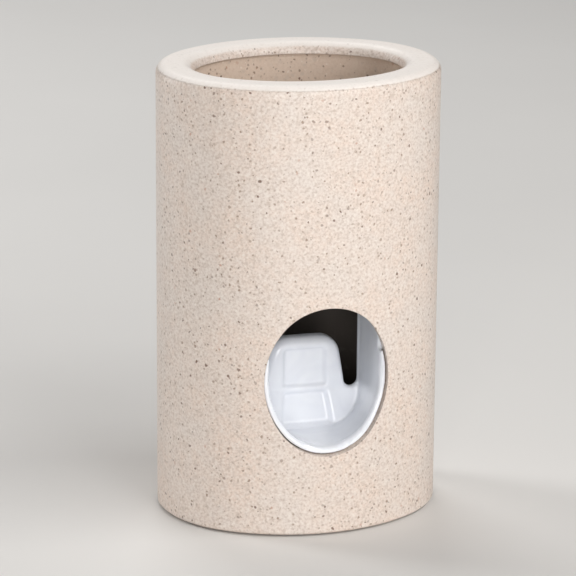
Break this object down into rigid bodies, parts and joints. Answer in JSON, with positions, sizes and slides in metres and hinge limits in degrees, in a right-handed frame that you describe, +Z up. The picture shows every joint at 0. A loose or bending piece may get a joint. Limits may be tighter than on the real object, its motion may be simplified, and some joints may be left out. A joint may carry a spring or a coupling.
{
  "type": "toothpaste dispenser",
  "caption": "Oval countertop toothpaste dispenser with a top tube well, a front brush opening and a swinging push lever that squeezes an inner pump.",
  "frame": {"origin": "centre of the oval footprint, on the counter under the rubber feet", "axes": "+Z up, the brush opening faces -Y, X along the wide axis of the oval"},
  "size_m": [0.075, 0.063, 0.12],
  "materials": {
    "wheat_plastic": "satin, with fine straw specks",
    "black_plastic": "matt",
    "white_plastic": "high gloss",
    "dark_rubber": "matt",
    "grey_rubber": "matt",
    "silicone": "satin",
    "steel": "satin",
    "spring_steel": "satin"
  },
  "bodies": {
    "housing": {"outer_shell": "wheat_plastic", "top_collar": "wheat_plastic", "inner_frame": "black_plastic", "base_cover": "wheat_plastic", "foot_pads": "dark_rubber", "base_screws": "steel", "frame_screws": "steel", "pivot_pin": "steel", "pin_clips": "steel", "return_springs": "spring_steel", "pump_bulb": "silicone", "bulb_clamp": "steel", "outlet_nozzle": "white_plastic", "outlet_valve": "silicone", "inlet_valve": "silicone", "valve_cage": "white_plastic"},
    "lever": {"push_lever": "white_plastic", "press_pad": "grey_rubber"},
    "tube_adapter": {"neck_adapter": "white_plastic", "adapter_ring": "dark_rubber"}
  },
  "joints": [
    {"name": "lever_swing", "type": "hinge", "parent": "housing", "child": "lever", "pos_m": [0, -0.015, 0.088], "axis": [1, 0, 0], "range_deg": [0, 15], "stiffness_Nm_per_rad": 0.05, "springref_deg": -11.46, "deforming": ["pump_bulb", "return_springs"]},
    {"name": "adapter_lift", "type": "slide", "parent": "housing", "child": "tube_adapter", "axis": [0, 0, 1], "range_m": [0, 0.04]}
  ]
}
